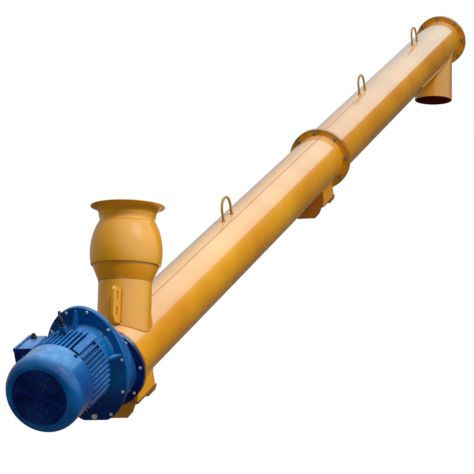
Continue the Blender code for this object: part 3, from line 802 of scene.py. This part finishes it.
def make_inlet_shells():
    """Spout, cone, ball and rim of the inlet."""
    bore = SPOUT_R - PIPE_WALL
    tube_guide = placed(rod(-CUTTER_REACH, CUTTER_REACH, TUBE_FIT_R), UPRIGHT.inverted() @ TUBE @ ALONG)
    spout = carved(pipe(0.0, INLET_CONE_BASE, bore, SPOUT_R), tube_guide)
    stand_in("inlet_spout_shell", spout, UPRIGHT, "inlet_spout")

    foot, shoulder, top = INLET_CONE_BASE + FIT_GAP, INLET_SEAM - 0.004, INLET_SEAM + 0.012
    wide = ball_radius(INLET_SEAM) - PIPE_WALL - 2 * FIT_GAP
    cone = [(foot, bore), (foot, SPOUT_R), (shoulder, wide), (top, wide), (top, wide - PIPE_WALL),
            (shoulder, wide - PIPE_WALL)]
    stand_in("inlet_cone_shell", turned(cone), UPRIGHT, "inlet_cone")

    neck_r = ball_radius(INLET_NECK)
    flare_r = neck_r + 0.002
    outside = [(height, ball_radius(height)) for height in straight(INLET_SEAM, INLET_NECK, 32)]
    outside += [(INLET_FLARE - 0.010, neck_r - 0.001), (INLET_FLARE, flare_r)]
    inside = [(height, radius - PIPE_WALL) for height, radius in reversed(outside)]
    stand_in("inlet_ball_shell", turned(outside + inside), UPRIGHT, "inlet_ball")

    foot = INLET_FLARE + FIT_GAP
    under = flare(foot, flare_r, INLET_RIM - 0.004, RIM_R - 0.001)
    above = flare(foot, flare_r - PIPE_WALL, INLET_RIM, RIM_RING_IN_R)
    rim = under + [(INLET_RIM - 0.002, RIM_R), (INLET_RIM, RIM_R - 0.001)] + above[::-1]
    stand_in("inlet_rim_flare", turned(rim), UPRIGHT, "inlet_rim")


def make_outlet_shells():
    """The outlet's pipe, and the raised ring where it leaves the tube."""
    into_outlet = OUTLET.inverted() @ TUBE
    start, end = OUTLET_AT - CUTTER_REACH, OUTLET_AT + CUTTER_REACH
    tube_guide = placed(rod(start, end, TUBE_FIT_R), into_outlet @ ALONG)
    spout = carved(pipe(-OUTLET_DROP, 0.0, OUTLET_R - PIPE_WALL, OUTLET_R), tube_guide)
    stand_in("outlet_spout_shell", spout, OUTLET, "outlet_spout")
    lip = placed(pipe(start, end, TUBE_FIT_R, TUBE_FIT_R + SADDLE_LIP), into_outlet @ ALONG)
    below = placed(block((start, -CUTTER_REACH, -CUTTER_REACH), (end, CUTTER_REACH, SADDLE_TOP)), into_outlet)
    inner = OUTLET_R + FIT_GAP
    saddle = carved(pipe(-SADDLE_REACH, 0.0, inner, inner + SADDLE_T), lip, below, keep=True)
    stand_in("outlet_saddle_ring", saddle, OUTLET, "outlet_saddle")


def make_lifting_loops():
    shoulder = TUBE_FIT_R + LUG_HEIGHT - LUG_BAR_R - LUG_BEND
    bend = [(LUG_BEND * (1 - cos(t)), shoulder + LUG_BEND * sin(t)) for t in quarter(16)]
    half = [(0.0, TUBE_FIT_R)] + bend
    for number, place in enumerate(LUG_PLACES, start=1):
        points = [Vector((place - LUG_HALF_SPAN + inwards, 0, over)) for inwards, over in half]
        points += [Vector((place + LUG_HALF_SPAN - inwards, 0, over)) for inwards, over in reversed(half)]
        loop = sweep(points, 2 * LUG_BAR_R, ripple=0.0, sides=20)
        stand_in("lifting_loop_%d" % number, loop, TUBE, "lifting_lug_%d" % number)


# Drive


def make_gearbox_shells():
    """Base flange, the housing that leads over to the motor's axis, and the oval cover disc."""
    flange = pipe(-BASE_FLANGE_BACK, -BASE_FLANGE_FACE, 0.0, BASE_FLANGE_R, edge=0.001)
    stand_in("gearbox_base_ring", flange, TUBE @ ALONG, "gearbox_base_flange")
    fine = turns(128)
    start, end = -DISC_BACK + FIT_GAP, -BASE_FLANGE_BACK - FIT_GAP
    levels = []
    for share in straight(0.0, 1.0, 32):
        upper = next(i for i, row in enumerate(GEARBOX_FORM) if row[0] >= share) or 1
        before, after = GEARBOX_FORM[upper - 1], GEARBOX_FORM[upper]
        part = (share - before[0]) / (after[0] - before[0])
        width, height, over = (a + (b - a) * part for a, b in zip(before[1:], after[1:]))
        levels.append(oval(start + (end - start) * share, width, height, over, fine))
    stand_in("gearbox_casting", loft(levels), TUBE, "gearbox_housing")
    low, high = -DISC_FACE, -DISC_BACK
    rim = ((low, 0.004), (low + 0.0012, 0.0012), (low + 0.004, 0.0), (high - 0.004, 0.0),
           (high - 0.0012, 0.0012), (high, 0.004))
    disc = loft([oval(along, DISC_HALF_WIDTH - inset, DISC_HALF_HEIGHT - inset, DISC_OVER, fine)
                 for along, inset in rim])
    flat = block((-CUTTER_REACH, -CUTTER_REACH, -CUTTER_REACH), (0.0, CUTTER_REACH, DISC_FLAT))
    stand_in("gearbox_cover_plate", carved(disc, flat), TUBE, "gearbox_cover_disc")


def make_front_shield():
    """The motor's bell-shaped front shield with its four ribs."""
    start, end = -BODY_FRONT + FIT_GAP, -DISC_FACE - FIT_GAP
    bell = [(start, 0.0), (start, 0.103), (start + 0.004, 0.1055), (start + 0.008, 0.106),
            (start + 0.013, 0.103), (start + 0.018, 0.099), (start + 0.030, 0.0995), (end - 0.012, 0.102),
            (end - 0.005, 0.105), (end, 0.108), (end, 0.0)]
    shapes = [placed(turned(bell, 128), ALONG)]
    root, half_t = 0.085, 0.004
    for angle, tip in zip(turns(4), RIB_TIPS):
        outline = [(start + 0.016, root), (start + 0.016, 0.098), (start + 0.020, 0.102),
                   (end - 0.010, tip - 0.003), (end - 0.007, tip), (end, tip), (end, root)]
        rib = loft([[(along, across, over) for along, over in outline] for across in (-half_t, half_t)])
        bmesh.ops.bevel(rib, geom=rib.edges[:], offset=0.0010, segments=2, affect="EDGES", profile=0.5)
        shapes.append(placed(rib, Matrix.Rotation(angle, 4, "X")))
    stand_in("motor_front_bell", joined(*shapes), MOTOR, "motor_front_shield")


def near(angle, target, half):
    return abs((angle - target + pi) % (2 * pi) - pi) < half


def fin_tip(angle):
    """How far a fin reaches: further at the four corners, as on a square-cast frame."""
    return FIN_TIP_R + (FIN_CORNER_R - FIN_TIP_R) * abs(sin(2 * angle)) ** 3


def make_finned_frame():
    """The motor's frame: fins with rounded tips and roots, bare at the pad and the terminal box."""
    outline = []
    for middle in turns(FIN_COUNT, 0.5):
        bare = near(middle, PAD_ANGLE, PAD_HALF_ANGLE) or near(middle, BOX_ANGLE, BOX_HALF_ANGLE)
        tip = fin_tip(middle)
        half = [(0.017, tip - 0.0006), (0.021, tip - 0.003), (0.029, FIN_ROOT_R + 0.002), (0.036, FIN_ROOT_R)]
        fin = [(-turn, radius) for turn, radius in reversed(half)] + [(0.0, tip)] + half
        for turn, radius in fin:
            out = FIN_ROOT_R if bare else radius
            outline.append((out * sin(middle + turn), out * cos(middle + turn)))
    levels = [[(along, across, over) for across, over in outline] for along in (-BODY_BACK, -BODY_FRONT)]
    stand_in("motor_finned_frame", loft(levels), MOTOR, "motor_body")


def cowl_bend(depth, radius):
    """The line of the cowl from its side round to the edge of its mouth."""
    middle = -COWL_FRONT + COWL_BEND
    return [(middle - depth * sin(t), GUARD_R + (radius - GUARD_R) * cos(t)) for t in quarter(20)]


def make_cowl():
    inner_r = COWL_R - COWL_WALL
    outer = cowl_bend(COWL_BEND, COWL_R)
    inner = cowl_bend(COWL_BEND - COWL_WALL, inner_r)
    outline = [(-COWL_START, COWL_R)] + outer + inner[::-1] + [(-COWL_START, inner_r)]
    stand_in("fan_cowl_pressing", turned(outline), MOTOR @ ALONG, "fan_cowl")


def make_terminal_box():
    core = placed(rod(-BODY_BACK, -BODY_FRONT, FIN_ROOT_R + FIT_GAP), ALONG)
    stand_in("terminal_box_casting", carved(block(BOX_LOW, BOX_HIGH, 0.004), core), MOTOR, "terminal_box")
    lid = block((BOX_LOW[0] - LID_LIP, BOX_HIGH[1] + FIT_GAP, BOX_LOW[2] - LID_LIP),
                (BOX_HIGH[0] + LID_LIP, BOX_HIGH[1] + LID_T, BOX_HIGH[2] + LID_LIP), 0.003)
    stand_in("terminal_box_cover", lid, MOTOR, "terminal_box_lid")


def make_eyebolt():
    """A forged eyebolt on its cast boss, which stands on a fin's tip."""
    angle = pi / FIN_COUNT
    eye = MOTOR @ Matrix.Translation((EYEBOLT_AT, 0, 0)) @ Matrix.Rotation(-angle, 4, "X")
    boss_foot = fin_tip(angle) + FIT_GAP
    boss = [(boss_foot, 0.0), (boss_foot, 0.014), (EYE_BOSS_R - 0.004, 0.0128),
            (EYE_BOSS_R - 0.001, 0.0122), (EYE_BOSS_R, 0.011), (EYE_BOSS_R, 0.0)]
    stand_in("eyebolt_seat", turned(boss, 40), eye, "eyebolt_boss")
    foot = EYE_BOSS_R + FIT_GAP
    stem = [(foot, 0.0), (foot, 0.0095), (foot + 0.001, 0.010), (foot + 0.004, 0.010),
            (foot + 0.0055, 0.0085), (foot + 0.008, 0.0062), (foot + 0.012, 0.0058), (foot + 0.012, 0.0)]
    hoop = turned([(EYE_BAR_R * sin(t), EYE_RING_R + EYE_BAR_R * cos(t)) for t in turns(24)], 64)
    upright = Matrix.Rotation(EYEBOLT_TURN, 4, "Z") @ Matrix.Rotation(pi / 2, 4, "X")
    placed(hoop, Matrix.Translation((0, 0, foot + 0.009 + EYE_RING_R)) @ upright)
    stand_in("eyebolt_forging", joined(turned(stem, 40), hoop), eye, "eyebolt")


# Fasteners


def at_spots(spots, facing):
    """Places for bolts whose heads all face one way."""
    return [Matrix.Translation(spot) @ facing for spot in spots]


def bolts(name, size, places, placing, finish=zinc, grip=None):
    """A set of bolts of one thread size."""
    piece(name, copies(bolt(size, grip), places), placing, finish)


def make_flange_bolts():
    """Bolts through each pair of flanges: middle joint, top end, and the drive's base flange."""
    drive_grip = BASE_FLANGE_BACK + TUBE_START + FLANGE_T
    sets = (("middle_joint_bolts", LOWER_FLANGE_START, 2 * (FLANGE_T + HALF_JOINT_GAP), 0.008, weathered_and_shaded_zinc),
            ("top_end_bolts", TOP_FLANGE_START, 2 * FLANGE_T + FIT_GAP, 0.007, weathered_and_shaded_zinc),
            ("drive_flange_bolts", -BASE_FLANGE_BACK, drive_grip, 0.005, zinc))
    for name, along, grip, size, plating in sets:
        ring = oval(along, BOLT_CIRCLE_R, BOLT_CIRCLE_R, 0.0, turns(FLANGE_BOLTS))
        bolts(name, size, at_spots(ring, DOWN_TUBE), TUBE, plating, grip)


def make_drive_fasteners():
    """Cap bolts down both sides of the cover disc and along its flat edge, and the fan cowl's screws."""
    inset, from_edge = 0.010, 0.012
    first, last = radians(16.2), radians(153.0)
    one_side = straight(first, last, 4)
    rim = oval(-DISC_FACE, DISC_HALF_WIDTH - inset, DISC_HALF_HEIGHT - inset, DISC_OVER,
               one_side + [-angle for angle in one_side])
    for spot in rim:
        spot.z = max(spot.z, DISC_FLAT + inset)
    bolts("gearbox_cover_bolts", 0.005, at_spots(rim, DOWN_TUBE), TUBE)
    on_cowl = Matrix.Translation((-COWL_START - from_edge, 0.0, COWL_R))
    places = [Matrix.Rotation(-angle, 4, "X") @ on_cowl for angle in turns(4, 0.5)]
    bolts("fan_cowl_screws", 0.006, places, MOTOR, blackened)


def make_lid_screws():
    inset = 0.006
    corners = [(along, BOX_HIGH[1] + LID_T, over) for along in (BOX_LOW[0] + inset, BOX_HIGH[0] - inset)
               for over in (BOX_LOW[2] + inset, BOX_HIGH[2] - inset)]
    bolts("terminal_lid_screws", 0.005, at_spots(corners, SIDEWAYS), MOTOR)


def make_hatch_bolts():
    """Bolts up into the collars of the two inspection hatches: four in the cover and two in its lobe."""
    for label, start in HATCH_STARTS.items():
        rows = ((start + 0.020, HATCH_COVER_FACE), (start + 0.075, HATCH_COVER_FACE),
                (start + HATCH_LENGTH - 0.030, HATCH_LOBE_FACE))
        spots = [(along, across, over) for along, over in rows
                 for across in (-HATCH_BOLTS_ACROSS, HATCH_BOLTS_ACROSS)]
        bolts(label + "_hatch_bolts", 0.008, at_spots(spots, BELOW), TUBE)


def make_bearing_bolts():
    radius = BEARING_BOLT_CIRCLE_R
    ring = oval(END_PLATE_START + FLANGE_T, radius, radius, 0.0, turns(4, 0.5))
    bolts("top_bearing_bolts", 0.010, at_spots(ring, ALONG), TUBE)


# Welds

BEAD_STEP = 0.005
LUG_BEAD_STEP = 0.0022
BEAD_OUT = 0.001
FILLET = 0.006
FLANGE_FILLET = 0.005
OUTLET_FILLET = 0.008
CONE_BEAD = 0.0036
SEAM_BEAD = 0.0034


def weld(name, placing, *beads):
    piece(name, joined(*beads), placing, weld_paint)


def make_tube_welds():
    """Fillets where the flanges meet the tube, and the tube's own seam along the top."""
    faces = {"drive_flange_weld": TUBE_START + FLANGE_T, "middle_lower_flange_weld": LOWER_FLANGE_START,
             "middle_upper_flange_weld": UPPER_FLANGE_START + FLANGE_T, "top_flange_weld": TOP_FLANGE_START}
    for name, along in faces.items():
        path = circle_path(Vector((along, 0, 0)), TUBE_R + BEAD_OUT / 2, Y_AXIS, Z_AXIS, BEAD_STEP)
        weld(name, TUBE, sweep(path, FLANGE_FILLET, closed=True))
    seam_r = TUBE_R - 0.0004
    seams = {"lower_tube_seam": (0.135, JOINT_AT - FLANGE_T - 0.004, radians(14.0)),
             "upper_tube_seam": (JOINT_AT + FLANGE_T + 0.004, 3.045, radians(8.0))}
    for name, (start, end, turn) in seams.items():
        across, over = -seam_r * sin(turn), seam_r * cos(turn)
        steps = int((end - start) / 0.010)
        path = [Vector((along, across, over)) for along in straight(start, end, steps)]
        weld(name, TUBE, sweep(path, SEAM_BEAD, ripple=0.05))


def saddle_path(radius, side):
    """The line where an upright pipe meets the tube, in the pipe's frame. Side is 1 on top, -1 below."""
    path = circle_path(Vector((0, 0, 0)), radius, X_AXIS, Y_AXIS, BEAD_STEP)
    for spot in path:
        spot.z = (side * tube_surface(spot.y) + spot.x * sin(SLOPE)) / cos(SLOPE)
    return path


def make_spout_welds():
    weld("inlet_spout_weld", UPRIGHT, sweep(saddle_path(SPOUT_R + BEAD_OUT, 1), FILLET, closed=True))
    round_outlet = saddle_path(OUTLET_R + SADDLE_T + BEAD_OUT, -1)
    weld("outlet_spout_weld", OUTLET, sweep(round_outlet, OUTLET_FILLET, closed=True))
    seam = circle_path(Vector((0, 0, INLET_CONE_BASE)), SPOUT_R - 0.0003, X_AXIS, Y_AXIS, BEAD_STEP)
    weld("inlet_cone_weld", UPRIGHT, sweep(seam, CONE_BEAD, closed=True))


def make_bracket_welds():
    heights = straight(BRACKET_LOW + 0.006, BRACKET_HIGH - 0.004, 24)
    beads = []
    for side in (-1, 1):
        across = BRACKET_SIDE + side * (BRACKET_HALF_T + BEAD_OUT)
        out = sqrt(SPOUT_R ** 2 - across ** 2)
        beads.append(sweep([Vector((-out, across, height)) for height in heights], FILLET))
    weld("slotted_bracket_welds", UPRIGHT, *beads)


def make_lug_welds():
    """A collar of weld round each foot of the lifting loops."""
    for number, place in enumerate(LUG_PLACES, start=1):
        beads = []
        for foot in (place - LUG_HALF_SPAN, place + LUG_HALF_SPAN):
            path = circle_path(Vector((foot, 0, 0)), LUG_BAR_R + 0.0008, X_AXIS, Y_AXIS, LUG_BEAD_STEP)
            for spot in path:
                spot.z = tube_surface(spot.y) + BEAD_OUT
            beads.append(sweep(path, FILLET, closed=True))
        weld("lifting_lug_weld_%d" % number, TUBE, *beads)


def make_hatch_welds():
    """Fillets between the hatch collars and the tube."""
    level = -tube_surface(HATCH_HALF_WIDTH)
    side = HATCH_HALF_WIDTH + BEAD_OUT
    for label, start in HATCH_STARTS.items():
        end = start + HATCH_LENGTH
        beads = []
        for across in (-side, side):
            line = [Vector((along, across, level)) for along in straight(start + 0.0065, end, 30)]
            beads.append(sweep(line, FILLET))
        arc = [Vector((end + BEAD_OUT, across, -tube_surface(across)))
               for across in straight(-HATCH_HALF_WIDTH, HATCH_HALF_WIDTH, 32)]
        weld(label + "_hatch_weld", TUBE, *beads, sweep(arc, FILLET))


# Fan and its guard


def round_z(count, shift=0.0):
    """Turns about Z that set copies evenly in a circle."""
    return [Matrix.Rotation(angle, 4, "Z") for angle in turns(count, shift)]


def make_fan_guard():
    """Pressed guard of rings and spokes in the mouth of the cowl, in place of the plain disc."""
    middle = -COWL_FRONT + GUARD_SINK
    low, high = middle - GUARD_T / 2, middle + GUARD_T / 2
    ring_width = (GUARD_R - GUARD_HUB_R) / GUARD_RINGS * 0.66
    shapes = [rod(low, high, GUARD_HUB_R, 32)]
    for outer in straight(GUARD_HUB_R, GUARD_R, GUARD_RINGS)[1:]:
        shapes.append(rod(low, high, outer - FIT_GAP, 64, bore=outer - ring_width))
    half_t, half_width = 0.49 * GUARD_T, 0.0025
    spoke = block((GUARD_HUB_R - 2 * FIT_GAP, -half_width, middle - half_t),
                  (GUARD_R - 2 * FIT_GAP, half_width, middle + half_t))
    shapes.append(copies(spoke, round_z(8, 0.5)))
    stand_in("fan_guard_rings", joined(*shapes), MOTOR @ ALONG, "fan_grille")


def make_fan():
    """The cooling fan that shows dimly behind the guard: hub, back plate and eight flat blades."""
    room, length, thickness, middle = 0.030, 0.068, 0.004, 0.062
    back, front = -COWL_START - room, -COWL_FRONT + room
    hub = turned([(back, 0.0), (back, 0.100), (back - 0.004, 0.100), (back - 0.006, 0.040), (front, 0.030),
                  (front - 0.004, 0.024), (front - 0.004, 0.0)], 48)
    blade = bmesh.new()
    bmesh.ops.create_cube(blade, size=1.0)
    bmesh.ops.bevel(blade, geom=blade.edges[:], offset=0.02, segments=2, affect="EDGES")
    placed(blade, Matrix.Diagonal((length, thickness, back - front - 0.010, 1.0)))
    placed(blade, Matrix.Translation((middle, 0.0, (back + front) / 2)))
    piece("cooling_fan", joined(hub, copies(blade, round_z(8))), MOTOR @ ALONG, blackened)


make_tube_sections()
make_flange_rings()
make_inlet_shells()
make_outlet_shells()
make_lifting_loops()
make_gearbox_shells()
make_front_shield()
make_finned_frame()
make_cowl()
make_terminal_box()
make_eyebolt()
make_flange_bolts()
make_drive_fasteners()
make_lid_screws()
make_hatch_bolts()
make_bearing_bolts()
make_tube_welds()
make_spout_welds()
make_bracket_welds()
make_lug_welds()
make_hatch_welds()
make_fan_guard()
make_fan()


# Light, floor and camera

FLOOR_LEVEL = -2.9
FLOOR_SIZE = 14.0
FLOOR_PAINT = colour(202, 197, 187)
WHITE = (1.0, 1.0, 1.0, 1.0)
SKY_TINT = (0.55, 0.82, 1.0, 1.0)
GROUND_TINT = (1.0, 0.77, 0.56, 1.0)
SKY_EDGE_TURN = radians(59.0)
BRIGHT_FROM = (-0.33, -0.70, 0.63)
KEY_PLACE = Vector((-2.8, -6.2, 5.8))
KEY_TARGET = Vector((1.0, 0.0, 0.3))
KEY_SIZE = 3.0
KEY_POWER = 860.0
EYE_IN_TUBE_DIAMETERS = Vector((-27.623, -12.152, -3.651))
YAW, PITCH, ROLL = radians(69.458), radians(10.25), radians(1.232)
SENSOR_WIDTH = 36.0
FOCAL_PIXELS = 2000
PHOTO_PIXELS = 474


def make_floor():
    bm = bmesh.new()
    bmesh.ops.create_grid(bm, x_segments=2, y_segments=2, size=FLOOR_SIZE / 2)
    floor = shown("floor", mesh_of("floor", bm))
    paint = new_finish("pale_floor").finished({"Base Color": FLOOR_PAINT, "Roughness": 0.9})
    floor.data.materials.append(paint)
    floor.location = ((cad_low.x + cad_high.x) / 2, 0.0, FLOOR_LEVEL)
    floor.visible_glossy = False


def make_surroundings():
    """White behind the part, soft light on it, and a sky that only the gloss picks up.

    In the direction that the tube points, a blue sky and a warm ground meet at a crisp edge.
    """
    shader = Shader(bpy.data.worlds.new("studio"), "Background", "Generated")
    sight = shader.parts(shader.point)
    y, z = sight[1:]
    along = towards((cos(SLOPE), 0.0, sin(SLOPE)), sight)
    over = sin(SKY_EDGE_TURN)
    sky_middle = (-sin(SLOPE) * over, cos(SKY_EDGE_TURN), cos(SLOPE) * over)
    sky_side = towards(sky_middle, sight).ramp(-0.02, 0.02)
    bright = towards(BRIGHT_FROM, sight)
    low_sky = z.ramp(-0.6, 0.5) * 0.08 + 0.02

    crisp = along.ramp(0.72, 0.83)
    tube_sky = 0.57 + 0.80 * (1.0 - y.ramp(-0.45, 0.50)) - 0.14 * y.ramp(0.12, 0.40)
    tube_sky = sky_side * tube_sky * (1.0 + 0.20 * along.ramp(0.88, 0.95))
    tube_ground = (low_sky + y.ramp(-0.18, 0.30) * 0.15) * (1.0 - sky_side)
    left_wall = y.ramp(0.2, 0.9) * z.ramp(-0.2, 0.2) * 0.22
    soft_sky = (bright.ramp(0.0, 1.0) * 1.92 + bright.ramp(0.93, 1.0) * 2.0) * z.ramp(-0.42, 0.02)
    reflected = crisp * (tube_sky + tube_ground) + (1.0 - crisp) * (soft_sky + left_wall + low_sky)

    soft_light = z.ramp(-0.25, 0.9) * 0.72 + y.ramp(0.1, 1.0) * 0.34 + 0.03
    seen = shader.node("ShaderNodeLightPath", output="Is Camera Ray")
    glossy = shader.node("ShaderNodeLightPath", output="Is Glossy Ray")
    strength = seen + (1.0 - seen) * (glossy * reflected + (1.0 - glossy) * soft_light)

    tube_blue = crisp * sky_side * (1.0 - 0.8 * y.ramp(0.15, 0.36))
    blue = glossy * (tube_blue + (1.0 - crisp) * bright.ramp(0.0, 0.4))
    warm = glossy * crisp * (1.0 - sky_side)
    tint = shader.blend(blue, shader.blend(warm, WHITE, GROUND_TINT), SKY_TINT)
    bpy.context.scene.world = shader.finished({"Strength": strength, "Color": tint})


def make_key_light():
    """A large lamp from the upper right that the gloss doesn't show."""
    data = bpy.data.lights.new("key_light", "AREA")
    data.shape = "DISK"
    data.size = KEY_SIZE
    data.energy = KEY_POWER
    lamp = shown("key_light", data)
    lamp.location = KEY_PLACE
    lamp.rotation_mode = "QUATERNION"
    lamp.rotation_quaternion = (KEY_TARGET - KEY_PLACE).to_track_quat("-Z", "Y")
    lamp.visible_glossy = False


def make_camera():
    """The photo's view: from beyond the drive, a little to the right and below, along the tube."""
    place = CROSSING + 2 * TUBE_R * EYE_IN_TUBE_DIAMETERS
    ahead = Vector((sin(YAW) * cos(PITCH), cos(YAW) * cos(PITCH), sin(PITCH)))
    level = Vector((cos(YAW), -sin(YAW), 0.0))
    above = level.cross(ahead)
    right = cos(ROLL) * level + sin(ROLL) * above
    top = cos(ROLL) * above - sin(ROLL) * level
    data = bpy.data.cameras.new("camera")
    data.sensor_width = SENSOR_WIDTH
    data.lens = SENSOR_WIDTH * FOCAL_PIXELS / PHOTO_PIXELS
    camera = shown("camera", data)
    camera.matrix_world = Matrix.Translation(place) @ Matrix((right, top, -ahead)).transposed().to_4x4()
    bpy.context.scene.camera = camera


make_floor()
make_surroundings()
make_key_light()
make_camera()
bpy.context.scene.view_settings.view_transform = "Standard"
